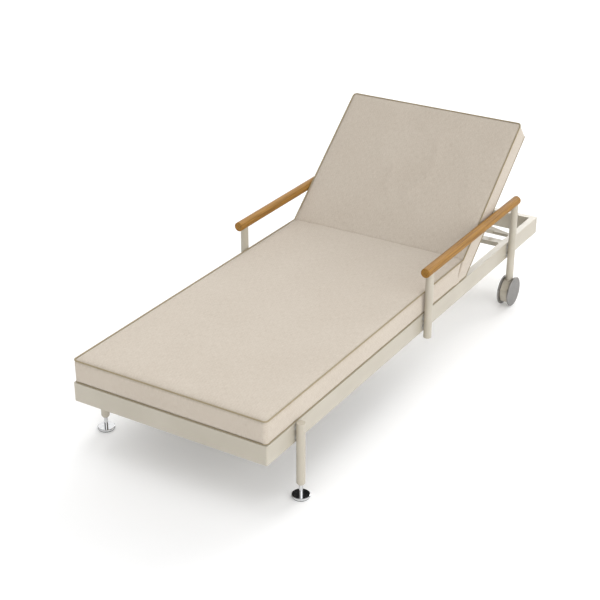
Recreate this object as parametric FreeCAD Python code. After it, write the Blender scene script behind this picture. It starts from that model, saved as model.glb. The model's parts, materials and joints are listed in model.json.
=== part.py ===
"""Reclining sun lounger: welded rail frame on two legs and two wheels, hinged back on a stay.

Millimetres. +X is the sitter's left-right width, +Y runs from the foot end to the head end,
+Z is up. The origin lies on the ground, under the middle of the frame.
The back is drawn at its top notch, with its stay standing on the racks.
"""
import FreeCAD, Part
import math
import os

V = FreeCAD.Vector
X_AXIS = V(1, 0, 0)
Z_AXIS = V(0, 0, 1)
SIDES = (("left", -1), ("right", 1))

# ---- frame rails: deep box section, welded at mitred corners
LENGTH = 2000.0            # over the foot and head rails
WIDTH = 720.0              # over the side rails
RAIL_TOP = 258.0           # height of the rails' top face above the ground
RAIL_HEIGHT = 66.0
RAIL_WIDTH = 25.0
RAIL_WALL = 2.0
CORNER_RADIUS = 5.0        # upright corners of the frame
RAIL_EDGE_RADIUS = 1.5     # long edges of the rails

# ---- seat slats
FRONT_SLATS = 4            # between the foot rail and the arm posts
REAR_SLATS = 2             # between the arm posts and the back's pivot
SLAT_WIDTH = 110.0
SLAT_DEPTH = 12.0
SLAT_WALL = 1.5
FIRST_SLAT_SETBACK = 30.0  # foot end to the first slat
SLAT_BEFORE_POST = 80.0    # last front slat to the arm posts' axis
SLAT_PAST_POST = 29.0      # arm posts' axis to the first rear slat
LAST_SLAT_SETBACK = 29.0   # last slat to the back's pivot

# ---- round posts: front legs, short arm posts and rear legs
TUBE_DIA = 28.0
TUBE_WALL = 2.0
STANDOFF = 3.0             # spacer between a rail and a post
FRONT_LEG_SETBACK = 160.0  # foot end to the front legs
ARM_POST_TO_HEAD = 1003.0  # head end to the arm posts
REAR_LEG_TO_HEAD = 292.0   # head end to the rear legs
FRONT_LEG_RISE = 5.0       # front leg's cap above the rail
FRONT_LEG_FOOT = 47.0      # height of the front leg's lower end
ARM_POST_DROP = 20.0       # arm post's lower end below the rail
CAP_THICK = 3.0
PLUG_DEPTH = 10.0

# ---- bolts and spacers that carry the posts
POST_BOLT_DIA = 8.0
POST_BOLT_HEAD_DIA = 14.0
POST_BOLT_HEAD = 2.4
POST_BOLT_GRIP_END = 4.0   # bolt past the post's near wall
POST_BOLT_SPACING = 34.0
SPACER_DIA = 18.0

# ---- armrests: round wooden bars
ARM_DIA = 34.0
ARM_HEIGHT = 430.0         # axis of the bar above the ground
ARM_FRONT_OVERHANG = 39.0  # bar past the arm post's axis
ARM_REAR_OVERHANG = 17.0   # bar past the rear leg's axis
ARM_END_RADIUS = 3.0
ARM_PLUG_BELOW = 30.0      # arm axis down to the top of the plug inside the post
ARM_PLUG_THICK = 5.0
ARM_SCREW_DIA = 5.0
ARM_SCREW_HEAD_DIA = 9.0
ARM_SCREW_HEAD = 3.0
ARM_SCREW_INTO_WOOD = 13.0

# ---- levelling glides of the front legs
GLIDE_DIA = 58.0
GLIDE_TOP = 10.5           # height of the glide plate's top face
GLIDE_EDGE = 1.2
PAD_DIA = 54.0
PAD_THICK = 2.0
STEM_DIA = 12.0
STEM_FIT = 0.05            # radial clearance of the stem in its insert
STEM_INSIDE = 43.0         # stem inside the leg
INSERT_DEPTH = 20.0
INSERT_CONE = 5.0          # bevelled end below the tube
INSERT_TIP_DIA = 22.0

# ---- twin-disc wheels of the rear legs
WHEEL_DIA = 115.0
WHEEL_THICK = 6.0
WHEEL_EDGE = 0.8
HUB_DIA = 94.0
HUB_WIDTH = 32.0
HUB_RECESS = 9.0
HUB_RIM = 7.0
HUB_BOSS_DIA = 30.0
DISC_GAP = 1.0             # hub face to disc
AXLE_DIA = 10.0
AXLE_IN_DISC = 4.0
BUSH_WALL = 2.0
BUSH_FLANGE_DIA = 22.0
BUSH_FLANGE = 0.8
BUSH_LENGTH = 12.0
RUN_FIT = 0.05             # radial running clearance

# ---- back: welded frame that pivots between the side rails
BACK_ANGLE = 40.0          # top notch, above level
HINGE_TO_HEAD = 656.0      # head end to the pivot
BACK_SINK = 0.0            # back's tubes below the rails' top face
BACK_TUBE = 24.0
BACK_TUBE_WALL = 2.0
BACK_GAP = 3.0             # back's side tube to the rail
BACK_FRAME_LENGTH = 612.0  # pivot to the top end of the back's frame
BACK_TAIL = 14.0           # side tube past the pivot
BACK_SLATS = (77.0, 153.0, 353.0, 477.0)   # slat centres from the pivot
BACK_SLAT_WIDTH = 60.0
PIVOT_BOLT_DIA = 10.0
PIVOT_HEAD_DIA = 18.0
PIVOT_HEAD = 5.0
PIVOT_IN_RAIL = 12.0
PIVOT_BUSH_WALL = 2.0
PIVOT_FLANGE_DIA = 22.0
PIVOT_FLANGE = 2.5
END_FLOAT = 0.5            # side play at a pivot

# ---- stay: two flat arms and a foot rod
STAY_PIVOT = 230.0         # back's pivot to the stay's pivot, along the back
STAY_GAP = 2.0             # stay's arm below the back's tubes when flat
STAY_LENGTH = 340.5
STAY_ARM_THICK = 6.0
STAY_ARM_DEPTH = 14.0
STAY_ARM_X = 240.0
STAY_PIN_DIA = 8.0
STAY_PIN_HEAD_DIA = 12.0
STAY_PIN_HEAD = 2.0
BRACKET_THICK = 4.0
BRACKET_WIDTH = 24.0
BRACKET_BELOW_PIN = 9.0
BRACKET_FLOAT = 0.5
ROD_DIA = 10.0
ROD_END_GAP = 5.0          # rod end to the rail's inner face

# ---- racks that the stay's foot stands on
RACK_ANGLES = (40.0, 30.0, 20.0, 0.0)
RACK_THICK = 15.0
RACK_BASE_DROP = 62.0      # rack's lower edge below the rail's top face
ROD_LIFT = 0.5             # foot rod above the tooth tips
NOTCH_PLAY = 0.4
NOTCH_DEPTH = 7.0
RACK_END = 16.0            # rack past its end notches
RACK_SCREW_DIA = 5.0
RACK_SCREW_HEAD_DIA = 9.0
RACK_SCREW_LENGTH = 24.0
RACK_SCREW_UP = 7.0        # screw above the rack's lower edge
RACK_SCREW_SETBACK = 6.5   # screw to the rack's end
TIE_THICK = 4.0
TIE_WIDTH = 60.0
TIE_END_WIDTH = 22.0
TIE_NECK_X = 200.0         # the plate tapers outboard of this
TIE_FROM_RACK = 35.0       # racks' front end to the plate's front edge
TIE_BELOW_ROD = 8.0        # underside of the foot rod to the plate

# ---- rear crossbeam and rest blocks
BEAM_WIDTH = 34.0
BEAM_HEIGHT = 17.0
BEAM_WALL = 2.0
BEAM_TO_RACK = 15.0        # beam's rear edge to the racks' front end
BEAM_BELOW_ROD = 4.5
REST_LENGTH = 26.0
REST_WIDTH = 17.0
REST_HEIGHT = 15.0
REST_TO_HEAD = 337.0       # head end to the middle of the block
REST_GAP = 0.5

# ---- mattress: seat part and back part, folded at the pivot
MATTRESS_THICK = 80.0
MATTRESS_SIDE_GAP = 2.5    # narrower than the frame, each side
MATTRESS_FOOT_GAP = 2.0
MATTRESS_LIFT = 0.3        # seat of the foam on rails and slats
MATTRESS_CORNER = 14.0
MATTRESS_EDGE = 3.0
BACK_PAD_LENGTH = 627.0    # pivot to the top end of the back part
FOLD_GAP = 0.3             # each side of the fold

# ---- places that follow from the sizes above
HALF_L = LENGTH / 2
HALF_W = WIDTH / 2
INNER_X = HALF_W - RAIL_WIDTH
RAIL_BOTTOM = RAIL_TOP - RAIL_HEIGHT
TUBE_R = TUBE_DIA / 2
POST_X = HALF_W + STANDOFF + TUBE_R
FRONT_LEG_Y = -HALF_L + FRONT_LEG_SETBACK
ARM_POST_Y = HALF_L - ARM_POST_TO_HEAD
REAR_LEG_Y = HALF_L - REAR_LEG_TO_HEAD
WHEEL_Z = WHEEL_DIA / 2
HINGE_Y = HALF_L - HINGE_TO_HEAD
HINGE_Z = RAIL_TOP - BACK_SINK - BACK_TUBE / 2
HINGE = V(0, HINGE_Y, HINGE_Z)
BACK_X = INNER_X - BACK_GAP
BACK_INNER_X = BACK_X - BACK_TUBE
MATTRESS_X = HALF_W - MATTRESS_SIDE_GAP
MATTRESS_BOTTOM = RAIL_TOP + MATTRESS_LIFT
MATTRESS_TOP = MATTRESS_BOTTOM + MATTRESS_THICK
STAY_DROP = BACK_TUBE / 2 + STAY_GAP + STAY_ARM_DEPTH / 2   # back's pivot to the stay's, flat
ROD_Z = HINGE_Z - STAY_DROP
ROD_R = ROD_DIA / 2
STAY_FLAT_Y = HINGE_Y + STAY_PIVOT


def block(x, y, z):
    """Box between pairs of coordinates."""
    return Part.makeBox(x[1] - x[0], y[1] - y[0], z[1] - z[0], V(x[0], y[0], z[0]))


def rod(radius, start, end):
    """Solid cylinder from one point to another."""
    along = end - start
    return Part.makeCylinder(radius, along.Length, start, along)


def span(side, near, far):
    """X limits between two distances from the middle, on one side."""
    return (min(side * near, side * far), max(side * near, side * far))


def cross_rod(radius, side, near, far, y, z):
    """Cylinder along X between two distances from the middle."""
    return rod(radius, V(side * near, y, z), V(side * far, y, z))


def box_tube(x, y, z, wall, along):
    """Rectangular tube, open at both ends along X or Y."""
    inner = [(a + wall, b - wall) for a, b in (x, y, z)]
    index = "XY".index(along)
    inner[index] = (x, y)[index]
    return block(x, y, z).cut(block(*inner))


def upright_edges(shape):
    """Edges of a shape that run straight along Z."""
    picked = []
    for edge in shape.Edges:
        first, last = edge.Vertexes[0].Point, edge.Vertexes[-1].Point
        if abs(last.z - first.z) > 1 and math.hypot(last.x - first.x, last.y - first.y) < 1e-6:
            picked.append(edge)
    return picked


def level_edges(shape, height):
    """Edges of a shape that lie at one height."""
    return [e for e in shape.Edges
            if abs(e.BoundBox.ZMin - height) < 1e-6 and abs(e.BoundBox.ZMax - height) < 1e-6]


def post_bolt_places():
    """Side, Y and Z of each bolt that holds a post to a side rail."""
    middle = RAIL_TOP - RAIL_HEIGHT / 2
    for _, side in SIDES:
        for y in (FRONT_LEG_Y, ARM_POST_Y, REAR_LEG_Y):
            for z in (middle - POST_BOLT_SPACING / 2, middle + POST_BOLT_SPACING / 2):
                yield side, y, z


def tilt(shape):
    """Turn a piece that was drawn flat to the back's top notch."""
    turned = shape.copy()
    turned.rotate(HINGE, X_AXIS, BACK_ANGLE)
    return turned


def stay_pivot(angle):
    """Y and Z of the stay's pivot with the back raised by an angle."""
    a = math.radians(angle)
    return (HINGE_Y + STAY_PIVOT * math.cos(a) + STAY_DROP * math.sin(a),
            HINGE_Z + STAY_PIVOT * math.sin(a) - STAY_DROP * math.cos(a))


def stay_slope(angle):
    """How far the stay points below level, with its foot at the rod's height."""
    return math.degrees(math.asin((stay_pivot(angle)[1] - ROD_Z) / STAY_LENGTH))


def foot_y(angle):
    """Where the foot rod stands with the back raised by an angle."""
    return stay_pivot(angle)[0] + STAY_LENGTH * math.cos(math.radians(stay_slope(angle)))


def swing(shape):
    """Turn a stay piece that was drawn folded flat to where it stands at the top notch."""
    turned = shape.copy()
    turned.rotate(V(0, STAY_FLAT_Y, ROD_Z), X_AXIS, -(stay_slope(BACK_ANGLE) + BACK_ANGLE))
    return tilt(turned)


def frame_rails():
    """Ring of box section with rounded corners, bored and cut at its mitres into four rails."""
    z = (RAIL_BOTTOM, RAIL_TOP)
    ring = block((-HALF_W, HALF_W), (-HALF_L, HALF_L), z)
    ring = ring.makeFillet(CORNER_RADIUS, upright_edges(ring))
    ring = ring.makeFillet(RAIL_EDGE_RADIUS, level_edges(ring, RAIL_TOP) + level_edges(ring, RAIL_BOTTOM))
    inner_y = HALF_L - RAIL_WIDTH
    ring = ring.cut(block((-INNER_X, INNER_X), (-inner_y, inner_y), z))
    w = RAIL_WALL
    hollow = block((-HALF_W + w, HALF_W - w), (-HALF_L + w, HALF_L - w), (z[0] + w, z[1] - w))
    hollow = hollow.cut(block((-INNER_X - w, INNER_X + w), (-inner_y - w, inner_y + w), z))
    ring = ring.cut(hollow)
    for side, y, height in post_bolt_places():
        ring = ring.cut(cross_rod(POST_BOLT_DIA / 2, side, INNER_X - 1, HALF_W + 1, y, height))
    for _, side in SIDES:
        ring = ring.cut(cross_rod(PIVOT_BOLT_DIA / 2, side, INNER_X - 1, INNER_X + w + 1, HINGE_Y, HINGE_Z))
        for y, height in rack_screw_places():
            ring = ring.cut(cross_rod(RACK_SCREW_DIA / 2, side, INNER_X - 1, INNER_X + w + 1, y, height))
    for name, way in (("foot_rail", -1), ("head_rail", 1)):
        corners = [V(-HALF_W, way * HALF_L, 0), V(HALF_W, way * HALF_L, 0), V(0, way * (HALF_L - HALF_W), 0)]
        wedge = Part.Face(Part.makePolygon(corners + corners[:1])).extrude(V(0, 0, RAIL_TOP))
        yield name, ring.common(wedge)
        ring = ring.cut(wedge)
    for name, side in SIDES:
        yield f"side_rail_{name}", ring.common(block(span(side, 0, HALF_W), (-HALF_L, HALF_L), z))


def seat_slats():
    """Flat box slats between the side rails, level with the rails' top."""
    groups = ((-HALF_L + FIRST_SLAT_SETBACK, ARM_POST_Y - SLAT_BEFORE_POST, FRONT_SLATS),
              (ARM_POST_Y + SLAT_PAST_POST, HINGE_Y - LAST_SLAT_SETBACK, REAR_SLATS))
    number = 0
    for start, end, slats in groups:
        pitch = (end - start - SLAT_WIDTH) / (slats - 1)
        for i in range(slats):
            number += 1
            y = start + pitch * i
            yield f"seat_slat_{number}", box_tube((-INNER_X, INNER_X), (y, y + SLAT_WIDTH),
                                                  (RAIL_TOP - SLAT_DEPTH, RAIL_TOP), SLAT_WALL, "X")


def rear_crossbeam():
    """Box tube across the tail of the frame, just below the stay's foot rod."""
    y1 = rack_limits()[0][0] - BEAM_TO_RACK
    top = ROD_Z - ROD_R - BEAM_BELOW_ROD
    return box_tube((-INNER_X, INNER_X), (y1 - BEAM_WIDTH, y1), (top - BEAM_HEIGHT, top), BEAM_WALL, "X")


def tie_plate():
    """Flat plate between the racks, with tapered ends."""
    end_x = INNER_X - RACK_THICK
    y0 = rack_limits()[0][0] + TIE_FROM_RACK
    y1 = y0 + TIE_WIDTH
    top = ROD_Z - ROD_R - TIE_BELOW_ROD
    outline = [V(-end_x, y0, 0), V(end_x, y0, 0), V(end_x, y0 + TIE_END_WIDTH, 0), V(TIE_NECK_X, y1, 0),
               V(-TIE_NECK_X, y1, 0), V(-end_x, y0 + TIE_END_WIDTH, 0)]
    plate = Part.Face(Part.makePolygon(outline + [outline[0]])).extrude(V(0, 0, TIE_THICK))
    plate.translate(V(0, 0, top - TIE_THICK))
    return plate


def rack_limits():
    """Y and Z limits of a rack."""
    top = ROD_Z - ROD_R - ROD_LIFT
    return ((foot_y(max(RACK_ANGLES)) - RACK_END, foot_y(min(RACK_ANGLES)) + RACK_END),
            (RAIL_TOP - RACK_BASE_DROP, top))


def rack_screw_places():
    """Y and Z of the two screws of a rack."""
    y, z = rack_limits()
    return [(y[0] + RACK_SCREW_SETBACK, z[0] + RACK_SCREW_UP), (y[1] - RACK_SCREW_SETBACK, z[0] + RACK_SCREW_UP)]


def rack(side):
    """Toothed bar on the rail's inner face, one round notch for each place of the back."""
    y, z = rack_limits()
    bar = block(span(side, INNER_X - RACK_THICK, INNER_X), y, z)
    radius = ROD_R + NOTCH_PLAY
    for angle in RACK_ANGLES:
        low = z[1] - NOTCH_DEPTH + radius
        at = foot_y(angle)
        bar = bar.cut(cross_rod(radius, side, INNER_X - RACK_THICK - 1, INNER_X + 1, at, low))
        bar = bar.cut(block(span(side, INNER_X - RACK_THICK - 1, INNER_X + 1),
                            (at - radius, at + radius), (low, z[1] + 1)))
    for at, height in rack_screw_places():
        bar = bar.cut(rack_screw(side, at, height))
    return bar


def rack_screw(side, y, z):
    """Countersunk screw through a rack into the rail's inner wall."""
    face = INNER_X - RACK_THICK
    sink = (RACK_SCREW_HEAD_DIA - RACK_SCREW_DIA) / 2
    head = Part.makeCone(RACK_SCREW_HEAD_DIA / 2, RACK_SCREW_DIA / 2, sink, V(side * face, y, z), V(side, 0, 0))
    return head.fuse(cross_rod(RACK_SCREW_DIA / 2, side, face, face + RACK_SCREW_LENGTH, y, z))


def rest_block(side):
    """Rubber block that the back's side tube lies on when it is flat."""
    y = HALF_L - REST_TO_HEAD
    top = HINGE_Z - BACK_TUBE / 2 - REST_GAP
    return block(span(side, INNER_X - REST_WIDTH, INNER_X), (y - REST_LENGTH / 2, y + REST_LENGTH / 2),
                 (top - REST_HEIGHT, top))


def post_tube(side, y, low, high):
    """Round tube beside a rail, bored for the two bolts in its near wall."""
    x = side * POST_X
    tube = rod(TUBE_R, V(x, y, low), V(x, y, high)).cut(rod(TUBE_R - TUBE_WALL, V(x, y, low), V(x, y, high)))
    for bolt_side, bolt_y, z in post_bolt_places():
        if bolt_side == side and bolt_y == y:
            tube = tube.cut(cross_rod(POST_BOLT_DIA / 2, side, HALF_W, POST_X - TUBE_R / 2, y, z))
    return tube


def arm_bar_axis(side):
    """Ends of an armrest's axis."""
    return (V(side * POST_X, ARM_POST_Y - ARM_FRONT_OVERHANG, ARM_HEIGHT),
            V(side * POST_X, REAR_LEG_Y + ARM_REAR_OVERHANG, ARM_HEIGHT))


def arm_bar(side):
    """Round wooden bar with eased ends and a pilot hole over each post."""
    start, end = arm_bar_axis(side)
    bar = rod(ARM_DIA / 2, start, end)
    bar = bar.makeFillet(ARM_END_RADIUS, [e for e in bar.Edges if e.Closed and len(e.Vertexes) == 1])
    for y in (ARM_POST_Y, REAR_LEG_Y):
        bar = bar.cut(arm_screw(side, y))
    return bar


def coped(tube, side):
    """Cut a post's top end to the round of the armrest."""
    start, end = arm_bar_axis(side)
    reach = V(0, TUBE_DIA, 0)
    return tube.cut(rod(ARM_DIA / 2, start - reach, end + reach))


def arm_screw(side, y):
    """Screw from the plug inside a post up into the armrest."""
    x = side * POST_X
    plug_top = ARM_HEIGHT - ARM_PLUG_BELOW
    seat = plug_top - ARM_PLUG_THICK
    tip = ARM_HEIGHT - ARM_DIA / 2 + ARM_SCREW_INTO_WOOD
    head = rod(ARM_SCREW_HEAD_DIA / 2, V(x, y, seat - ARM_SCREW_HEAD), V(x, y, seat))
    return head.fuse(rod(ARM_SCREW_DIA / 2, V(x, y, seat), V(x, y, tip)))


def arm_plug(side, y):
    """Disc welded inside a post below the armrest."""
    x = side * POST_X
    top = ARM_HEIGHT - ARM_PLUG_BELOW
    plug = rod(TUBE_R - TUBE_WALL, V(x, y, top - ARM_PLUG_THICK), V(x, y, top))
    return plug.cut(arm_screw(side, y))


def end_cap(side, y, z, up):
    """Flat cap on a post's end with a spigot inside the tube; up is 1 on a top end, -1 below."""
    x = side * POST_X
    face = V(x, y, z - up * CAP_THICK)
    cap = rod(TUBE_R, face, V(x, y, z))
    rim = [e for e in cap.Edges if abs(e.BoundBox.ZMin - z) < 1e-6 and abs(e.BoundBox.ZMax - z) < 1e-6]
    cap = cap.makeFillet(CAP_THICK / 2, rim)
    return cap.fuse(rod(TUBE_R - TUBE_WALL, face, face - V(0, 0, up * PLUG_DEPTH)))


def post_bolt(side, y, z):
    """Low-head bolt from the rail's inner face into a post."""
    head = cross_rod(POST_BOLT_HEAD_DIA / 2, side, INNER_X - POST_BOLT_HEAD, INNER_X, y, z)
    end = POST_X - TUBE_R + TUBE_WALL + POST_BOLT_GRIP_END
    return head.fuse(cross_rod(POST_BOLT_DIA / 2, side, INNER_X, end, y, z))


def post_spacer(side, y, z):
    """Washer between rail and post, hollowed to the post's round."""
    ring = cross_rod(SPACER_DIA / 2, side, HALF_W, POST_X, y, z)
    ring = ring.cut(rod(TUBE_R, V(side * POST_X, y, z - SPACER_DIA), V(side * POST_X, y, z + SPACER_DIA)))
    return ring.cut(cross_rod(POST_BOLT_DIA / 2, side, HALF_W - 1, POST_X, y, z))


def glide_insert(side):
    """Threaded plug in the front leg's lower end, with a bevelled tip."""
    at = V(side * POST_X, FRONT_LEG_Y, FRONT_LEG_FOOT)
    step = at + V(0, 0, INSERT_CONE)
    plug = Part.makeCone(INSERT_TIP_DIA / 2, TUBE_R, INSERT_CONE, at, Z_AXIS)
    plug = plug.fuse(rod(TUBE_R - TUBE_WALL, step, step + V(0, 0, INSERT_DEPTH)))
    return plug.cut(rod(STEM_DIA / 2 + STEM_FIT, at - V(0, 0, 1), step + V(0, 0, INSERT_DEPTH + 1)))


def glide(side):
    """Forged foot plate with its threaded stem."""
    at = V(side * POST_X, FRONT_LEG_Y, PAD_THICK)
    plate = rod(GLIDE_DIA / 2, at, V(at.x, at.y, GLIDE_TOP))
    plate = plate.makeChamfer(GLIDE_EDGE, [e for e in plate.Edges if e.Closed and len(e.Vertexes) == 1])
    return plate.fuse(rod(STEM_DIA / 2, V(at.x, at.y, GLIDE_TOP), V(at.x, at.y, FRONT_LEG_FOOT + STEM_INSIDE)))


def glide_pad(side):
    """Rubber disc under the foot plate."""
    at = V(side * POST_X, FRONT_LEG_Y, 0)
    return rod(PAD_DIA / 2, at, at + V(0, 0, PAD_THICK))


def wheel_hub(side):
    """Drum between the discs, recessed round its boss and bored for the bushes."""
    near, far = POST_X - HUB_WIDTH / 2, POST_X + HUB_WIDTH / 2
    drum = cross_rod(HUB_DIA / 2, side, near, far, REAR_LEG_Y, WHEEL_Z)
    for start, end in ((near, near + HUB_RECESS), (far - HUB_RECESS, far)):
        pocket = cross_rod(HUB_DIA / 2 - HUB_RIM, side, start, end, REAR_LEG_Y, WHEEL_Z)
        drum = drum.cut(pocket.cut(cross_rod(HUB_BOSS_DIA / 2, side, start, end, REAR_LEG_Y, WHEEL_Z)))
    return drum.cut(cross_rod(AXLE_DIA / 2 + RUN_FIT + BUSH_WALL, side, near, far, REAR_LEG_Y, WHEEL_Z))


def axle_bush(side, facing):
    """Flanged sleeve in one face of the hub; facing is 1 outboard and -1 inboard."""
    face = POST_X + facing * HUB_WIDTH / 2
    inside = face - facing * BUSH_LENGTH
    outside = face + facing * BUSH_FLANGE
    bore = AXLE_DIA / 2 + RUN_FIT
    sleeve = cross_rod(bore + BUSH_WALL, side, inside, outside, REAR_LEG_Y, WHEEL_Z)
    sleeve = sleeve.fuse(cross_rod(BUSH_FLANGE_DIA / 2, side, face, outside, REAR_LEG_Y, WHEEL_Z))
    return sleeve.cut(cross_rod(bore, side, inside, outside, REAR_LEG_Y, WHEEL_Z))


def axle(side):
    """Plain axle, pressed into both discs."""
    reach = HUB_WIDTH / 2 + DISC_GAP + AXLE_IN_DISC
    return cross_rod(AXLE_DIA / 2, side, POST_X - reach, POST_X + reach, REAR_LEG_Y, WHEEL_Z)


def wheel_disc(side, facing):
    """Solid metal disc with eased rims and a blind bore for the axle."""
    near = POST_X + facing * (HUB_WIDTH / 2 + DISC_GAP)
    disc = cross_rod(WHEEL_DIA / 2, side, near, near + facing * WHEEL_THICK, REAR_LEG_Y, WHEEL_Z)
    disc = disc.makeChamfer(WHEEL_EDGE, [e for e in disc.Edges if e.Closed and len(e.Vertexes) == 1])
    return disc.cut(axle(side))


def pivot_bolt(side):
    """Shoulder bolt from inside the back's tube into the rail's inner wall."""
    head_face = BACK_INNER_X - 2 * END_FLOAT
    head = cross_rod(PIVOT_HEAD_DIA / 2, side, head_face - PIVOT_HEAD, head_face, HINGE_Y, HINGE_Z)
    return head.fuse(cross_rod(PIVOT_BOLT_DIA / 2, side, head_face, INNER_X + PIVOT_IN_RAIL, HINGE_Y, HINGE_Z))


def pivot_bush(side):
    """Flanged sleeve in the back's side tube."""
    bore = PIVOT_BOLT_DIA / 2 + RUN_FIT
    near, far = BACK_INNER_X - END_FLOAT, BACK_X + PIVOT_FLANGE
    sleeve = cross_rod(bore + PIVOT_BUSH_WALL, side, near, far, HINGE_Y, HINGE_Z)
    sleeve = sleeve.fuse(cross_rod(PIVOT_FLANGE_DIA / 2, side, BACK_X, far, HINGE_Y, HINGE_Z))
    return sleeve.cut(cross_rod(bore, side, near, far, HINGE_Y, HINGE_Z))


def back_side_tube(side):
    """Long tube of the back's frame, bored for its pivot bush."""
    z = (HINGE_Z - BACK_TUBE / 2, HINGE_Z + BACK_TUBE / 2)
    tube = box_tube(span(side, BACK_INNER_X, BACK_X), (HINGE_Y - BACK_TAIL, HINGE_Y + BACK_FRAME_LENGTH),
                    z, BACK_TUBE_WALL, "Y")
    bore = PIVOT_BOLT_DIA / 2 + RUN_FIT + PIVOT_BUSH_WALL
    return tilt(tube.cut(cross_rod(bore, side, BACK_INNER_X - 1, BACK_X + 1, HINGE_Y, HINGE_Z)))


def back_cross_tube(middle):
    """Tube between the back's side tubes, at a distance from the pivot."""
    y = (HINGE_Y + middle - BACK_TUBE / 2, HINGE_Y + middle + BACK_TUBE / 2)
    z = (HINGE_Z - BACK_TUBE / 2, HINGE_Z + BACK_TUBE / 2)
    return tilt(box_tube((-BACK_INNER_X, BACK_INNER_X), y, z, BACK_TUBE_WALL, "X"))


def back_slat(middle):
    """Flat box slat of the back, level with the front of its tubes."""
    y = (HINGE_Y + middle - BACK_SLAT_WIDTH / 2, HINGE_Y + middle + BACK_SLAT_WIDTH / 2)
    top = HINGE_Z + BACK_TUBE / 2
    return tilt(box_tube((-BACK_INNER_X, BACK_INNER_X), y, (top - SLAT_DEPTH, top), SLAT_WALL, "X"))


def stay_bracket(side):
    """Two ears under the back's cross tube, with the stay's arm between them."""
    clear = STAY_ARM_THICK / 2 + BRACKET_FLOAT
    y = (STAY_FLAT_Y - BRACKET_WIDTH / 2, STAY_FLAT_Y + BRACKET_WIDTH / 2)
    z = (ROD_Z - BRACKET_BELOW_PIN, HINGE_Z - BACK_TUBE / 2)
    ears = []
    for facing in (-1, 1):
        near = STAY_ARM_X + facing * clear
        ear = block(span(side, near, near + facing * BRACKET_THICK), y, z)
        ears.append(tilt(ear.cut(stay_pin_flat(side))))
    return ears


def stay_pin_flat(side):
    """Pin through the ears and the stay's arm, riveted over at both ends."""
    grip = STAY_ARM_THICK / 2 + BRACKET_FLOAT + BRACKET_THICK
    pin = cross_rod(STAY_PIN_DIA / 2, side, STAY_ARM_X - grip, STAY_ARM_X + grip, STAY_FLAT_Y, ROD_Z)
    for facing in (-1, 1):
        face = STAY_ARM_X + facing * grip
        pin = pin.fuse(cross_rod(STAY_PIN_HEAD_DIA / 2, side, face, face + facing * STAY_PIN_HEAD,
                                 STAY_FLAT_Y, ROD_Z))
    return pin


def stay_arm(side):
    """Flat bar with round ends, bored for its pin and for the foot rod."""
    x = span(side, STAY_ARM_X - STAY_ARM_THICK / 2, STAY_ARM_X + STAY_ARM_THICK / 2)
    foot = STAY_FLAT_Y + STAY_LENGTH
    half = STAY_ARM_DEPTH / 2
    bar = block(x, (STAY_FLAT_Y, foot), (ROD_Z - half, ROD_Z + half))
    for y in (STAY_FLAT_Y, foot):
        bar = bar.fuse(rod(half, V(x[0], y, ROD_Z), V(x[1], y, ROD_Z)))
    bar = bar.removeSplitter()
    for y, radius in ((STAY_FLAT_Y, STAY_PIN_DIA / 2 + RUN_FIT), (foot, ROD_R)):
        bar = bar.cut(rod(radius, V(x[0] - 1, y, ROD_Z), V(x[1] + 1, y, ROD_Z)))
    return swing(bar)


def stay_foot_rod():
    """Round rod through both arms; its ends stand on the racks."""
    end = INNER_X - ROD_END_GAP
    y = STAY_FLAT_Y + STAY_LENGTH
    return swing(rod(ROD_R, V(-end, y, ROD_Z), V(end, y, ROD_Z)))


def mattress(y, mitre_side):
    """Foam block with rounded corners, mitred at half the back's angle where it folds."""
    x = (-MATTRESS_X, MATTRESS_X)
    z = (MATTRESS_BOTTOM, MATTRESS_TOP)
    pad = block(x, y, z)
    free_end = y[0] if mitre_side > 0 else y[1]
    corners = [e for e in upright_edges(pad) if abs(e.BoundBox.Center.y - free_end) < 1]
    pad = pad.makeFillet(MATTRESS_CORNER, corners)
    rims = [e for e in pad.Edges for level in z
            if abs(e.BoundBox.ZMin - level) < 1e-6 and abs(e.BoundBox.ZMax - level) < 1e-6
            and not (abs(e.BoundBox.YMin - e.BoundBox.YMax) < 1e-6 and abs(e.BoundBox.YMin - free_end) > 1)]
    pad = pad.makeFillet(MATTRESS_EDGE, rims)
    knife = block((-HALF_W, HALF_W), (0, LENGTH), (-MATTRESS_TOP, MATTRESS_TOP))
    knife.translate(V(0, HINGE_Y - FOLD_GAP, HINGE_Z))
    if mitre_side < 0:
        knife = knife.mirror(V(0, HINGE_Y, 0), V(0, 1, 0))
    knife.rotate(HINGE, X_AXIS, mitre_side * BACK_ANGLE / 2)
    return pad.cut(knife)


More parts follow.
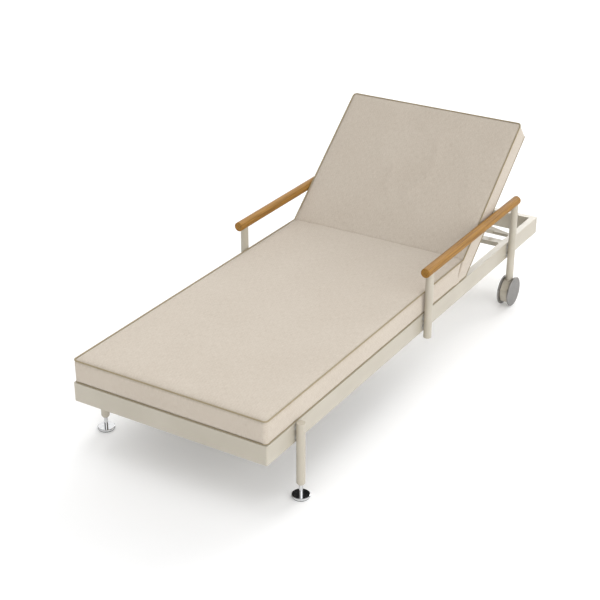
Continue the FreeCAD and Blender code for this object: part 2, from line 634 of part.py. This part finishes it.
def build():
    """Every node of the lounger, with the solids it holds."""
    nodes = {}
    nodes.update(frame_rails())
    nodes.update(seat_slats())
    nodes["rear_crossbeam"] = rear_crossbeam()
    nodes["rack_tie_plate"] = tie_plate()
    nodes["rack_screws"] = [rack_screw(side, y, z) for _, side in SIDES for y, z in rack_screw_places()]
    nodes["rest_blocks"] = [rest_block(side) for _, side in SIDES]
    nodes["leg_bolts"] = [post_bolt(*place) for place in post_bolt_places()]
    nodes["leg_spacers"] = [post_spacer(*place) for place in post_bolt_places()]
    nodes["glide_inserts"] = [glide_insert(side) for _, side in SIDES]
    nodes["arm_screws"] = [arm_screw(side, y) for _, side in SIDES for y in (ARM_POST_Y, REAR_LEG_Y)]
    nodes["tube_plugs"] = [arm_plug(side, y) for _, side in SIDES for y in (ARM_POST_Y, REAR_LEG_Y)]
    nodes["axle_bushes"] = [axle_bush(side, facing) for _, side in SIDES for facing in (-1, 1)]
    nodes["hinge_bolts"] = [pivot_bolt(side) for _, side in SIDES]
    nodes["hinge_bushes"] = [pivot_bush(side) for _, side in SIDES]
    nodes["stay_brackets"] = [ear for _, side in SIDES for ear in stay_bracket(side)]
    nodes["stay_pins"] = [tilt(stay_pin_flat(side)) for _, side in SIDES]
    nodes["stay_foot_rod"] = stay_foot_rod()
    nodes["back_head_tube"] = back_cross_tube(BACK_FRAME_LENGTH - BACK_TUBE / 2)
    nodes["back_stay_tube"] = back_cross_tube(STAY_PIVOT)
    for number, middle in enumerate(BACK_SLATS, 1):
        nodes[f"back_slat_{number}"] = back_slat(middle)
    nodes["seat_cushion"] = mattress((-HALF_L + MATTRESS_FOOT_GAP, HINGE_Y), 1)
    nodes["back_cushion"] = tilt(mattress((HINGE_Y, HINGE_Y + BACK_PAD_LENGTH), -1))
    post_foot = RAIL_BOTTOM - ARM_POST_DROP
    leg_top = RAIL_TOP + FRONT_LEG_RISE
    for name, side in SIDES:
        nodes["tube_plugs"] += [end_cap(side, FRONT_LEG_Y, leg_top, 1), end_cap(side, ARM_POST_Y, post_foot, -1)]
        nodes[f"front_leg_{name}"] = post_tube(side, FRONT_LEG_Y, FRONT_LEG_FOOT + INSERT_CONE,
                                               leg_top - CAP_THICK)
        nodes[f"arm_post_{name}"] = coped(post_tube(side, ARM_POST_Y, post_foot + CAP_THICK, ARM_HEIGHT), side)
        drum = cross_rod(HUB_DIA / 2, side, HALF_W - TUBE_DIA, POST_X + TUBE_DIA, REAR_LEG_Y, WHEEL_Z)
        nodes[f"rear_leg_{name}"] = coped(post_tube(side, REAR_LEG_Y, WHEEL_Z, ARM_HEIGHT), side).cut(drum)
        nodes[f"armrest_{name}"] = arm_bar(side)
        nodes[f"rack_{name}"] = rack(side)
        nodes[f"glide_{name}"] = glide(side)
        nodes[f"glide_pad_{name}"] = glide_pad(side)
        nodes[f"wheel_hub_{name}"] = wheel_hub(side)
        nodes[f"wheel_axle_{name}"] = axle(side)
        nodes[f"wheel_outer_{name}"] = wheel_disc(side, 1)
        nodes[f"wheel_inner_{name}"] = wheel_disc(side, -1)
        nodes[f"back_side_tube_{name}"] = back_side_tube(side)
        nodes[f"stay_arm_{name}"] = stay_arm(side)
    return nodes


os.makedirs("parts", exist_ok=True)
for node, made in build().items():
    pieces = made if isinstance(made, list) else [made]
    solids = [solid for piece in pieces for solid in piece.Solids]
    shape = solids[0] if len(solids) == 1 else Part.makeCompound(solids)
    shape.exportStep(f"parts/{node}.step")
print("stay swings", round(stay_slope(BACK_ANGLE) + BACK_ANGLE - stay_slope(0), 4), "degrees as the back turns",
      BACK_ANGLE)
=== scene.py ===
import json
import math

import bmesh
import bpy
from mathutils import Matrix, Vector, noise


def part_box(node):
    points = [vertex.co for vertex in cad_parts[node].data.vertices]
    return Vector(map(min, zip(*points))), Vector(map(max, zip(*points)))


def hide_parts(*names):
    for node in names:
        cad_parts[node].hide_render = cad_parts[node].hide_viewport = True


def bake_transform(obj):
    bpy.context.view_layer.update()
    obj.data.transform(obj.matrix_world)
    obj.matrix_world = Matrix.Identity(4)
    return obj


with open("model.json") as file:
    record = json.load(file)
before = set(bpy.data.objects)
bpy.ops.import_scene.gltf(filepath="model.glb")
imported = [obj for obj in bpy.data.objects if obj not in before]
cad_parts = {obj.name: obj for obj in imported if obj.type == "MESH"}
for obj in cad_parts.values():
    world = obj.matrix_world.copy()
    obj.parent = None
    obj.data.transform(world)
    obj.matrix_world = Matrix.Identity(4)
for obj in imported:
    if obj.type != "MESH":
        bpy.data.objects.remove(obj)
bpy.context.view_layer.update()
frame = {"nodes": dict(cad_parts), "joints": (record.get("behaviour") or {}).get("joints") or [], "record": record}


# ---- Painted frame --------------------------------------------------------------------------
# The rails, slats, posts, hubs and the back's frame are light alloy, welded and then sprayed
# with a sand-coloured powder. Baking leaves a satin skin with fine orange peel.
def linear(r, g, b):
    """A display colour, 0 to 255, as linear light."""
    return tuple(((c / 255 + 0.055) / 1.055) ** 2.4 for c in (r, g, b)) + (1.0,)


class Finish:
    """One material under construction: its shader, and short ways to add wired nodes."""

    def __init__(self, name):
        self.material = bpy.data.materials.new(name)
        self.material.use_nodes = True
        self.tree = self.material.node_tree
        self.shader = self.tree.nodes["Principled BSDF"]
        self.place = self.add("ShaderNodeTexCoord").outputs["Object"]

    def add(self, kind, inputs=None, **settings):
        node = self.tree.nodes.new(kind)
        for key, value in settings.items():
            setattr(node, key, value)
        for key, value in (inputs or {}).items():
            if isinstance(value, bpy.types.NodeSocket):
                self.tree.links.new(value, node.inputs[key])
            else:
                node.inputs[key].default_value = value
        return node

    def noise(self, scale, detail=3.0, stretch=(1, 1, 1), roughness=0.5, place=None):
        """Fine clouds over the piece, stretched along its axes or along those of its cloth."""
        spread = self.add("ShaderNodeMapping", {"Vector": place or self.place, "Scale": stretch})
        return self.add("ShaderNodeTexNoise", {"Vector": spread.outputs["Vector"], "Scale": scale,
                                               "Detail": detail, "Roughness": roughness}).outputs["Fac"]

    def math(self, kind, a, b=0.0, c=0.0):
        """One step of arithmetic on values or on the outputs of other nodes."""
        return self.add("ShaderNodeMath", {0: a, 1: b, 2: c}, operation=kind).outputs[0]

    def ramp(self, factor, *stops):
        """A colour that runs through (position, colour) stops."""
        node = self.add("ShaderNodeValToRGB", {"Fac": factor})
        elements = node.color_ramp.elements
        while len(elements) < len(stops):
            elements.new(0.5)
        for element, (position, colour) in zip(elements, stops):
            element.position, element.color = position, colour
        return node.outputs["Color"]

    def range(self, value, low, high):
        """A value from 0 to 1, spread from low to high."""
        spread = self.add("ShaderNodeMapRange", {"Value": value, "To Min": low, "To Max": high})
        return spread.outputs["Result"]

    def bump(self, height, strength, distance):
        bump = self.add("ShaderNodeBump", {"Height": height, "Strength": strength, "Distance": distance})
        self.wire("Normal", bump.outputs["Normal"])

    def wire(self, socket, value):
        self.tree.links.new(value, self.shader.inputs[socket])

    def set(self, **values):
        """Constants on the shader's own sockets."""
        for key, value in values.items():
            self.shader.inputs[key.replace("_", " ")].default_value = value


def powder_coat():
    finish = Finish("sand_powder_coat")
    cloud = finish.noise(7.0, 4.0)
    finish.wire("Base Color", finish.ramp(cloud, (0.3, linear(180, 173, 158)), (0.7, linear(188, 181, 167))))
    finish.wire("Roughness", finish.range(cloud, 0.32, 0.42))
    finish.bump(finish.noise(700.0, 2.0), 0.10, 0.0003)
    return finish.material


def dress(material, slot):
    """Give every node of the frame that is listed under a slot its material."""
    for part in frame["record"]["subparts"]:
        if part["material_slot"] == slot:
            for place in frame["nodes"][part["node"]].material_slots:
                place.link = "OBJECT"
                place.material = material


dress(powder_coat(), "frame_paint")


# ---- Screws, pins and axles -----------------------------------------------------------------
# Turned steel with a bright zinc plate. They sit inside the frame and between the posts and
# the rails, where only their heads and washers show.
def zinc_plate():
    finish = Finish("bright_zinc")
    cloud = finish.noise(160.0, 4.0)
    finish.wire("Base Color", finish.ramp(cloud, (0.3, linear(168, 170, 172)), (0.7, linear(196, 197, 196))))
    finish.wire("Roughness", finish.range(cloud, 0.28, 0.45))
    finish.bump(finish.noise(900.0, 2.0), 0.15, 0.0002)
    finish.set(Metallic=1.0)
    return finish.material


dress(zinc_plate(), "zinc_steel")


# ---- Bushes, rest blocks and glide pads -----------------------------------------------------
# The bushes are turned white nylon. The blocks under the lowered back and the pads under the
# glides are moulded black rubber, matt and slightly pitted.
def nylon():
    finish = Finish("white_nylon")
    cloud = finish.noise(60.0)
    finish.wire("Base Color", finish.ramp(cloud, (0.3, linear(222, 219, 208)), (0.7, linear(234, 231, 222))))
    finish.bump(finish.noise(1200.0, 2.0), 0.1, 0.0002)
    finish.set(Roughness=0.5, Subsurface_Weight=0.05)
    return finish.material


def rubber():
    finish = Finish("black_rubber")
    cloud = finish.noise(220.0, 4.0)
    finish.wire("Base Color", finish.ramp(cloud, (0.3, linear(24, 24, 25)), (0.7, linear(38, 38, 38))))
    finish.wire("Roughness", finish.range(cloud, 0.7, 0.9))
    finish.bump(cloud, 0.3, 0.0004)
    return finish.material


dress(nylon(), "bush_nylon")
dress(rubber(), "black_rubber")


# ---- Levelling glides -----------------------------------------------------------------------
# A forged plate and its stem, polished and chromed, screwed into the foot of each front leg.
# The plate mirrors the underside of the lounger, and a black edge tint darkens the stem's edges as they turn away:
# a painted dark reflection.
def chrome():
    finish = Finish("polished_chrome")
    cloud = finish.noise(90.0, 4.0)
    finish.wire("Base Color", finish.ramp(cloud, (0.3, linear(214, 215, 217)), (0.7, linear(228, 228, 228))))
    finish.wire("Roughness", finish.range(cloud, 0.03, 0.09))
    # black specular tint: painted dark reflection along the grazing edges
    finish.set(Metallic=1.0, Specular_Tint=(0.0, 0.0, 0.0, 1.0))
    return finish.material


dress(chrome(), "glide_chrome")


# ---- Wheels ---------------------------------------------------------------------------------
# Two solid alloy discs on each axle, faced on a lathe and left bare. The turning marks are
# fine rings about the axle.
def turned_alloy():
    finish = Finish("turned_alloy")
    tool_feed = 0.0011
    middle = sum((Vector(corner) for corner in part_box("wheel_hub_right")), Vector()) / 2
    spot = finish.add("ShaderNodeMapping", {"Vector": finish.place, "Location": (0, -middle.y, -middle.z),
                                            "Scale": (0, 1, 1)}).outputs["Vector"]
    radius = finish.add("ShaderNodeVectorMath", {0: spot}, operation="LENGTH").outputs["Value"]
    rings = finish.math("SINE", finish.math("MULTIPLY", radius, 2 * math.pi / tool_feed))
    cloud = finish.noise(45.0, 5.0)
    tone = finish.math("MULTIPLY_ADD", rings, 0.12, cloud)
    finish.wire("Base Color", finish.ramp(tone, (0.2, linear(140, 138, 136)), (0.8, linear(156, 154, 152))))
    finish.wire("Roughness", finish.range(cloud, 0.26, 0.36))
    finish.bump(rings, 0.12, 0.0001)
    # grey specular tint darkens the rims at grazing angles: partly the metal's own edge tone, partly a painted
    # darker reflection
    finish.set(Metallic=0.85, Specular_Tint=(0.62, 0.62, 0.62, 1.0))
    return finish.material


dress(turned_alloy(), "wheel_metal")


# ---- Armrests -------------------------------------------------------------------------------
# Turned teak bars, oiled. The grain runs along the bar, with darker growth lines, short pores
# and rings that show on the rounded ends.
def teak():
    finish = Finish("oiled_teak")
    grain = finish.noise(26.0, 6.0, stretch=(3.2, 0.16, 3.2), roughness=0.6)
    lines = finish.noise(120.0, 4.0, stretch=(3.0, 0.05, 3.0), roughness=0.65)
    pores = finish.noise(420.0, 2.0, stretch=(2.0, 0.09, 2.0))
    tone = finish.math("MULTIPLY_ADD", lines, 0.75, finish.math("MULTIPLY", grain, 0.4))
    finish.wire("Base Color", finish.ramp(tone, (0.38, linear(96, 64, 14)), (0.55, linear(144, 101, 31)),
                                          (0.72, linear(168, 122, 44))))
    finish.wire("Roughness", finish.range(pores, 0.75, 0.58))
    finish.bump(finish.math("MULTIPLY_ADD", lines, 0.5, pores), 0.25, 0.0005)
    return finish.material


dress(teak(), "teak")


# ---- Mattress -------------------------------------------------------------------------------
# One foam mattress in a woven cover, folded where the back pivots. The cover is boxed: a top
# panel, a side band and a base cloth of black grip mesh, joined by a piped seam all round. The base cloth's black
# is partly painted shade, keeping the underside dark where the glides mirror it.
def woven_cover():
    finish = Finish("sand_weave")
    uv = finish.add("ShaderNodeUVMap", uv_map="weave").outputs["UV"]
    across = finish.add("ShaderNodeSeparateXYZ", {"Vector": uv})
    u, v = across.outputs["X"], across.outputs["Y"]
    repeat = 0.0056
    warp = finish.math("SINE", finish.math("MULTIPLY", u, 2 * math.pi / repeat))
    weft = finish.math("SINE", finish.math("MULTIPLY", v, 2 * math.pi / repeat))
    twill = finish.math("SINE", finish.math("MULTIPLY", finish.math("ADD", u, v), math.pi / repeat))
    weave = finish.math("MULTIPLY_ADD", finish.math("MULTIPLY", warp, weft), 0.9,
                        finish.math("MULTIPLY", twill, 0.1))
    slub, cross = (finish.noise(420.0, 3.0, stretch=stretch, place=uv)
                   for stretch in ((1.0, 0.12, 1.0), (0.12, 1.0, 1.0)))
    patch = finish.noise(5.0, 3.0)
    tone = finish.math("ADD", finish.math("MULTIPLY_ADD", weave, 0.16, finish.math("MULTIPLY", slub, 0.5)),
                       finish.math("MULTIPLY_ADD", cross, 0.35, finish.math("MULTIPLY", patch, 0.15)))
    finish.wire("Base Color", finish.ramp(tone, (0.30, linear(180, 168, 152)), (0.50, linear(194, 183, 169)),
                                          (0.70, linear(203, 194, 181))))
    finish.bump(finish.math("MULTIPLY_ADD", weave, 0.7, slub), 0.35, 0.0006)
    finish.set(Roughness=0.92, Sheen_Weight=0.15, Sheen_Roughness=0.5)
    return finish.material


# Black base cloth: partly the cover's grip mesh, partly painted shade that keeps the underside dark where the
# glides mirror it.
def grip_mesh_and_painted_shade():
    finish = Finish("black_grip_mesh")
    dots = finish.add("ShaderNodeTexVoronoi", {"Vector": finish.place, "Scale": 260.0}).outputs["Distance"]
    finish.wire("Base Color", finish.ramp(dots, (0.2, linear(30, 30, 31)), (0.6, linear(14, 14, 15))))
    finish.bump(dots, 0.5, 0.0008)
    finish.set(Roughness=0.8)
    return finish.material


recline = next(joint for joint in frame["joints"] if joint["name"] == "recline")
pivot = Vector(recline["pos_m"])
lean = math.radians(-recline["range_deg"][0])
seat_low, seat_high = (Vector(corner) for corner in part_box("seat_cushion"))
back_high = Vector(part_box("back_cushion")[1])
HALF = seat_high.x
UNDER = seat_low.z - pivot.z        # the base and the top, from the height of the pivot
OVER = seat_high.z - pivot.z
BACK_REACH = (back_high.z - pivot.z - OVER * math.cos(lean)) / math.sin(lean)
CORNER = 0.014
GRID = 0.016
SIDE_ROWS = 5
FAN_CUTS = 8                        # cuts that turn from the fold's slope to upright
FOLD_CUTS = (0, -0.003, 0.003, -0.007, 0.007)
fold_way = Vector((0, math.cos(lean / 2), math.sin(lean / 2)))
fold_up = Vector((0, -math.sin(lean / 2), math.cos(lean / 2)))
raise_back = Matrix.Translation(pivot) @ Matrix.Rotation(lean, 4, "X") @ Matrix.Translation(-pivot)


def on_back(point):
    """Whether a point of the mattress lies past the fold."""
    return (point - pivot).dot(fold_way) > 0


def laid_flat(point):
    """Where a point of the mattress lies when the back is level."""
    return raise_back.inverted() @ point if on_back(point) else point.copy()


def mirrored_in_fold(point):
    """The same point on the other side of the fold."""
    return point - 2 * (point - pivot).dot(fold_way) * fold_way


def at_fold(height):
    """Point of the fold at a height above the back's pivot."""
    return pivot + fold_up * height / math.cos(lean / 2)


def cut(bm, faces, at, normal):
    """Cut some of the faces by a plane."""
    geometry = list(faces)
    for face in faces:
        geometry += list(face.edges) + list(face.verts)
    bmesh.ops.bisect_plane(bm, geom=list(set(geometry)), plane_co=at, plane_no=normal, dist=1e-5)


def folded_block():
    """The mattress as a block bent at the fold, with rounded upright corners."""
    bm = bmesh.new()
    ends = (seat_low.y, pivot.y + BACK_REACH)
    foot = [Vector((-HALF, ends[0], pivot.z + height)) for height in (UNDER, OVER)]
    head = [raise_back @ Vector((-HALF, ends[1], pivot.z + height)) for height in (OVER, UNDER)]
    left = Vector((-HALF, 0, 0))
    outline = foot + [at_fold(OVER) + left] + head + [at_fold(UNDER) + left]
    side = bm.faces.new([bm.verts.new(point) for point in outline])
    slab = bmesh.ops.extrude_face_region(bm, geom=[side])
    far = [item for item in slab["geom"] if isinstance(item, bmesh.types.BMVert)]
    bmesh.ops.translate(bm, verts=far, vec=(2 * HALF, 0, 0))
    bmesh.ops.recalc_face_normals(bm, faces=bm.faces)
    corners = [edge for edge in bm.edges
               if abs(edge.verts[0].co.x - edge.verts[1].co.x) < 1e-6
               and any(all(abs(laid_flat(v.co).y - end) < 1e-5 for v in edge.verts) for end in ends)]
    bmesh.ops.bevel(bm, geom=corners, offset=CORNER, segments=6, profile=0.5, affect="EDGES", material=-1)
    return bm


def gridded(bm):
    """Cut the block into small faces, square to the seat and to the back, and fanned at the fold."""
    for offset in FOLD_CUTS:
        cut(bm, bm.faces[:], pivot + fold_way * offset, fold_way)
    for back, length in ((False, pivot.y - seat_low.y), (True, BACK_REACH)):
        rows = []
        for k in range(1, int(length / GRID)):
            turn = lean / 2 * max(0, 1 - k / FAN_CUTS)
            at = at_fold(UNDER) - Vector((0, k * GRID, 0))
            way = Vector((0, math.cos(turn), math.sin(turn)))
            rows.append((at, way))
        for k in range(1, SIDE_ROWS):
            height = UNDER + (OVER - UNDER) * k / SIDE_ROWS
            rows.append((pivot + Vector((0, 0, height)), Vector((0, 0, 1))))
        for at, way in rows:
            if back:
                ahead = mirrored_in_fold(at + way)
                at = mirrored_in_fold(at)
                way = ahead - at
            cut(bm, [f for f in bm.faces if on_back(f.calc_center_median()) == back], at, way)
    columns = round(2 * HALF / GRID)
    for i in range(1, columns):
        cut(bm, bm.faces[:], Vector((-HALF + 2 * HALF * i / columns, 0, 0)), Vector((1, 0, 0)))


def level_of(point):
    """1 on the top panel, -1 on the base cloth, 0 on the side band."""
    height = laid_flat(point).z - pivot.z
    return 1 if height > OVER - 1e-4 else -1 if height < UNDER + 1e-4 else 0


def swollen(obj, pinned):
    """Where cloth simulation puts the cover's points when the foam presses from inside."""
    moments = 20
    obj.vertex_groups.new(name="seams").add(pinned, 1.0, "REPLACE")
    cloth = obj.modifiers.new("foam", "CLOTH")
    cover = cloth.settings
    cover.vertex_group_mass = "seams"
    cover.use_pressure = True
    cover.uniform_pressure_force = 4
    cover.tension_stiffness = 25
    cover.bending_stiffness = 2
    cover.effector_weights.gravity = 0
    cloth.point_cache.frame_end = moments
    for moment in range(1, moments + 1):
        bpy.context.scene.frame_set(moment)
    swelled = obj.evaluated_get(bpy.context.evaluated_depsgraph_get()).to_mesh()
    places = [v.co.copy() for v in swelled.vertices]
    obj.modifiers.remove(cloth)
    obj.vertex_groups.clear()
    bpy.context.scene.frame_set(1)
    return places


def piece(name, bm, *materials):
    """A finished bmesh as an object of the scene."""
    mesh = bpy.data.meshes.new(name)
    bm.to_mesh(mesh)
    bm.free()
    obj = bpy.data.objects.new(name, mesh)
    bpy.context.scene.collection.objects.link(obj)
    for material in materials:
        mesh.materials.append(material)
    return obj


TOP_SWELL = 0.004
SIDE_SWELL = 0.0015


def pressed_out(obj, kinds, seams):
    """Let the foam round out the top and the side band, each up to its own limit."""
    for i, place in enumerate(swollen(obj, seams)):
        vertex = obj.data.vertices[i]
        limit = 0 if kinds[i] == {-1} else TOP_SWELL if kinds[i] == {1} else SIDE_SWELL
        shift = place - vertex.co
        if i not in seams and limit:
            vertex.co += shift * limit / (limit + shift.length)


WRINKLE = 0.0008
PUCKER = 0.0050
SHOULDERS = pivot + Vector((0.03, 0.40, 0))
SHOULDER_REACH = 0.20


def slack(spot):
    """How far the cover stands off the foam, mostly where shoulders rub it."""
    swirl = noise.noise_vector(spot * 6) * 0.8
    ripple = noise.noise(Vector((spot.x * 14, spot.y * 9, spot.z * 14)) + swirl)
    twist = noise.noise_vector(spot * 5) * 0.9
    line = noise.noise(Vector((spot.x * 6, spot.y * 5, spot.z * 6)) + twist)
    loose = 0.2 + 0.8 * math.exp(-((spot - SHOULDERS).xy.length / SHOULDER_REACH) ** 2)
    return WRINKLE * ripple + PUCKER * loose * max(0.0, 1 - 5 * abs(line)) ** 1.5


SIDE_FOLD = at_fold(OVER) - Vector((0, 0.0035, 0))
SIDE_FOLD_RUN = Vector((0, -0.034, -0.052))
SIDE_FOLD_DEPTH = 0.014
SIDE_FOLD_WIDTH = 0.0022
SIDE_FOLD_CUTS = (-0.015, -0.009, -0.005, -0.003, -0.0018, -0.0009, 0, 0.0009, 0.0018, 0.003, 0.006)
SIDE_FOLD_REACH = 0.11
SIDE_FOLD_FADE = 0.35
SIDE_TUCK_DEPTH = 0.004
SIDE_TUCK_WIDTH = 0.020
BAND_DEPTH = 0.006                  # what lies this near the sides moves with the side band
CREASE_TUCK = 0.003


def pinched(mesh):
    """Draw the side band in at the fold, where the foam of the seat and of the back meet."""
    bm = bmesh.new()
    bm.from_mesh(mesh)
    run = SIDE_FOLD_RUN.normalized()
    across = Vector((0, run.z, -run.y))
    for offset in SIDE_FOLD_CUTS:
        near = [face for face in bm.faces if abs(face.normal.x) > 0.9
                and (face.calc_center_median() - SIDE_FOLD).yz.length < SIDE_FOLD_REACH]
        cut(bm, near, SIDE_FOLD + across * offset, across)
    for v in bm.verts:
        if abs(v.co.x) > HALF - BAND_DEPTH:
            along = (v.co - SIDE_FOLD).dot(run) / SIDE_FOLD_RUN.length
            aside = (v.co - SIDE_FOLD).dot(across)
            depth = SIDE_FOLD_DEPTH * math.exp(-(aside / SIDE_FOLD_WIDTH) ** 2)
            if aside * across.y < 0:
                depth += SIDE_TUCK_DEPTH * math.exp(-(aside / SIDE_TUCK_WIDTH) ** 2)
            fade = max(0.0, min(1.0, 1 - along)) ** SIDE_FOLD_FADE
            v.co.x -= math.copysign(depth * fade, v.co.x)
        from_pivot = v.co - pivot
        if abs(from_pivot.dot(fold_way)) < 1e-4 and abs(from_pivot.dot(fold_up)) > OVER - 0.004:
            v.co -= fold_up * CREASE_TUCK
    bm.to_mesh(mesh)
    bm.free()


def smoothed(obj):
    """Apply one level of subdivision."""
    smooth = obj.modifiers.new("smooth", "SUBSURF")
    smooth.levels = smooth.render_levels = 1
    bpy.context.view_layer.update()
    mesh = bpy.data.meshes.new_from_object(obj.evaluated_get(bpy.context.evaluated_depsgraph_get()))
    obj.modifiers.clear()
    obj.data = mesh


def laid_out(mesh):
    """Lay the weave square on each panel, in metres, as the cover is before it is folded."""
    weave = mesh.uv_layers.new(name="weave")
    for face in mesh.polygons:
        back = on_back(face.center)
        facing = laid_flat(face.center + face.normal * 1e-4) - laid_flat(face.center) if back else face.normal
        through = max(range(3), key=lambda axis: abs(facing[axis]))
        for loop in face.loop_indices:
            point = mesh.vertices[mesh.loops[loop].vertex_index].co
            flat = raise_back.inverted() @ point if back else point
            weave.data[loop].uv = [flat[axis] for axis in range(3) if axis != through]


def bends(obj):
    """Bake a piece's placement into its mesh."""
    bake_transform(obj)


bm = folded_block()
gridded(bm)
bm.verts.index_update()
kinds = [{level_of(face.calc_center_median()) for face in v.link_faces} for v in bm.verts]
seams = [i for i, kind in enumerate(kinds) if len(kind) > 1]
for face in bm.faces:
    face.material_index = 1 if level_of(face.calc_center_median()) == -1 else 0
    face.smooth = True
mattress = piece("mattress_cover", bm, woven_cover(), grip_mesh_and_painted_shade())
pressed_out(mattress, kinds, seams)
for v in mattress.data.vertices:
    if kinds[v.index] != {-1} and v.index not in seams:
        v.co += v.normal * slack(laid_flat(v.co))
pinched(mattress.data)
smoothed(mattress)
laid_out(mattress.data)
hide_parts("seat_cushion", "back_cushion")
bends(mattress)


# ---- Piping ---------------------------------------------------------------------------------
# A cord covered in darker braid, sewn into the seam between the side band and each panel. It
# runs all round the top and all round the base, and follows the mattress through the fold.
TOP_PIPING_RADIUS = 0.0024
BASE_PIPING_RADIUS = 0.0016
TOP_PIPING_HEIGHT = OVER - 0.0008
BASE_PIPING_HEIGHT = UNDER + 0.0022
PIPING_INSET = 0.0012
STITCH = 0.008


def braid():
    finish = Finish("taupe_braid")
    thread = finish.noise(900.0, 2.0)
    finish.wire("Base Color", finish.ramp(thread, (0.35, linear(142, 129, 102)),
                                          (0.65, linear(166, 153, 125))))
    finish.bump(thread, 0.4, 0.0005)
    finish.set(Roughness=0.85)
    return finish.material


def stitched(start, end):
    """Even steps from just past a start up to an end."""
    steps = int((end - start) / STITCH)
    return [start + (end - start) * i / steps for i in range(1, steps + 1)]


def seam_path(height):
    """Points round the mattress at a height above the back's pivot, through the fold."""
    x, r = HALF - PIPING_INSET, CORNER - PIPING_INSET
    foot, head = seat_low.y + PIPING_INSET, pivot.y + BACK_REACH - PIPING_INSET
    mitre = height * math.tan(lean / 2)
    level = pivot.z + height
    turns = [math.radians(15 * i) for i in range(7)]
    corner = [(r - r * math.sin(turn), r - r * math.cos(turn)) for turn in turns]
    right = [Vector((x - a, foot + b, level)) for a, b in corner]
    right += [Vector((x, y, level)) for y in stitched(foot + r, pivot.y - mitre)]
    right += [raise_back @ Vector((x, y, level)) for y in stitched(pivot.y + mitre, head - r)[:-1]]
    right += [raise_back @ Vector((x - a, head - b, level)) for a, b in reversed(corner)]
    return right + [Vector((-point.x, point.y, point.z)) for point in reversed(right)]


def piping(name, height, radius, cover):
    """A closed cord along the seam at a height."""
    curve = bpy.data.curves.new(name, "CURVE")
    curve.dimensions = "3D"
    curve.bevel_depth = radius
    curve.bevel_resolution = 3
    line = curve.splines.new("POLY")
    places = seam_path(height)
    line.points.add(len(places) - 1)
    for point, place in zip(line.points, places):
        point.co = (*place, 1)
    line.use_cyclic_u = True
    drawn = bpy.data.objects.new(name + "_path", curve)
    bpy.context.scene.collection.objects.link(drawn)
    bpy.context.view_layer.update()
    mesh = bpy.data.meshes.new_from_object(drawn.evaluated_get(bpy.context.evaluated_depsgraph_get()))
    bpy.data.objects.remove(drawn)
    bm = bmesh.new()
    bm.from_mesh(mesh)
    for face in bm.faces:
        face.smooth = True
    cord = piece(name, bm, cover)
    bends(cord)


taupe = braid()
piping("top_piping", TOP_PIPING_HEIGHT, TOP_PIPING_RADIUS, taupe)
piping("base_piping", BASE_PIPING_HEIGHT, BASE_PIPING_RADIUS, taupe)


# ---- Studio ---------------------------------------------------------------------------------
# A pale floor out to a ring of white paper, and a pale dome with a brighter panel behind. One
# broad low light comes from behind, and weaker ones from the right, the near corner and above.
FLOOR_REACH = 30
PAPER_RADIUS = 25
PAPER_HEIGHT = 40

bm = bmesh.new()
bmesh.ops.create_grid(bm, x_segments=8, y_segments=8, size=FLOOR_REACH)
ground = Finish("pale_floor")
speck = ground.noise(3.0)
ground.wire("Base Color", ground.ramp(speck, (0.0, (0.86, 0.86, 0.86, 1)), (1.0, (0.87, 0.87, 0.87, 1))))
ground.set(Roughness=0.9, Emission_Color=(1, 1, 1, 1), Emission_Strength=0.155)
floor = piece("studio_floor", bm, ground.material)

bm = bmesh.new()
bmesh.ops.create_cone(bm, segments=96, radius1=PAPER_RADIUS, radius2=PAPER_RADIUS, depth=PAPER_HEIGHT)
paper = Finish("white_paper")
fibre = paper.noise(0.5)
paper.wire("Emission Color", paper.ramp(fibre, (0.0, (0.99, 0.99, 0.99, 1)), (1.0, (1, 1, 1, 1))))
paper.set(Emission_Strength=1.02, Base_Color=(0, 0, 0, 1), Specular_IOR_Level=0.0)
backdrop = piece("studio_backdrop", bm, paper.material)
backdrop.visible_diffuse = backdrop.visible_glossy = backdrop.visible_shadow = False
backdrop.visible_transmission = backdrop.visible_volume_scatter = False

dome = bpy.data.worlds.new("studio_dome")
dome.use_nodes = True
bpy.context.scene.world = dome
tree = dome.node_tree
way = tree.nodes.new("ShaderNodeTexCoord")
facing = tree.nodes.new("ShaderNodeVectorMath")
facing.operation = "DOT_PRODUCT"
facing.inputs[1].default_value = (-0.38, 0.82, 0.42)
panel = tree.nodes.new("ShaderNodeMapRange")
panel.interpolation_type = "SMOOTHSTEP"
panel.inputs["From Min"].default_value = 0.70
panel.inputs["From Max"].default_value = 0.90
panel.inputs["To Min"].default_value = 0.40
panel.inputs["To Max"].default_value = 1.30
tree.links.new(way.outputs["Generated"], facing.inputs[0])
tree.links.new(facing.outputs["Value"], panel.inputs["Value"])
tree.links.new(panel.outputs["Result"], tree.nodes["Background"].inputs["Strength"])
tree.nodes["Background"].inputs["Color"].default_value = (1, 1, 1, 1)

SOFTBOXES = (
    # name, heading and height in degrees, energy
    ("back_softbox", 90, 20, 2.05),
    ("right_softbox", 0, 20, 0.85),
    ("corner_softbox", 315, 20, 1.00),
    ("overhead_softbox", 270, 80, 0.88),
)
SOFTBOX_SPREAD = math.radians(50)
for name, heading, height, energy in SOFTBOXES:
    softbox = bpy.data.lights.new(name, "SUN")
    softbox.energy = energy
    softbox.angle = SOFTBOX_SPREAD
    lamp = bpy.data.objects.new(name, softbox)
    lamp.rotation_euler = (math.radians(90 - height), 0, math.radians(heading + 90))
    bpy.context.scene.collection.objects.link(lamp)

eye = bpy.data.cameras.new("camera")
eye.lens = 81.75
eye.sensor_width = 36
camera = bpy.data.objects.new("camera", eye)
camera.location = (2.1821, -3.7874, 2.3828)
camera.rotation_euler = (math.radians(63.624), 0, math.radians(31.529))
bpy.context.scene.collection.objects.link(camera)
bpy.context.scene.camera = camera
bpy.context.scene.view_settings.view_transform = "Standard"
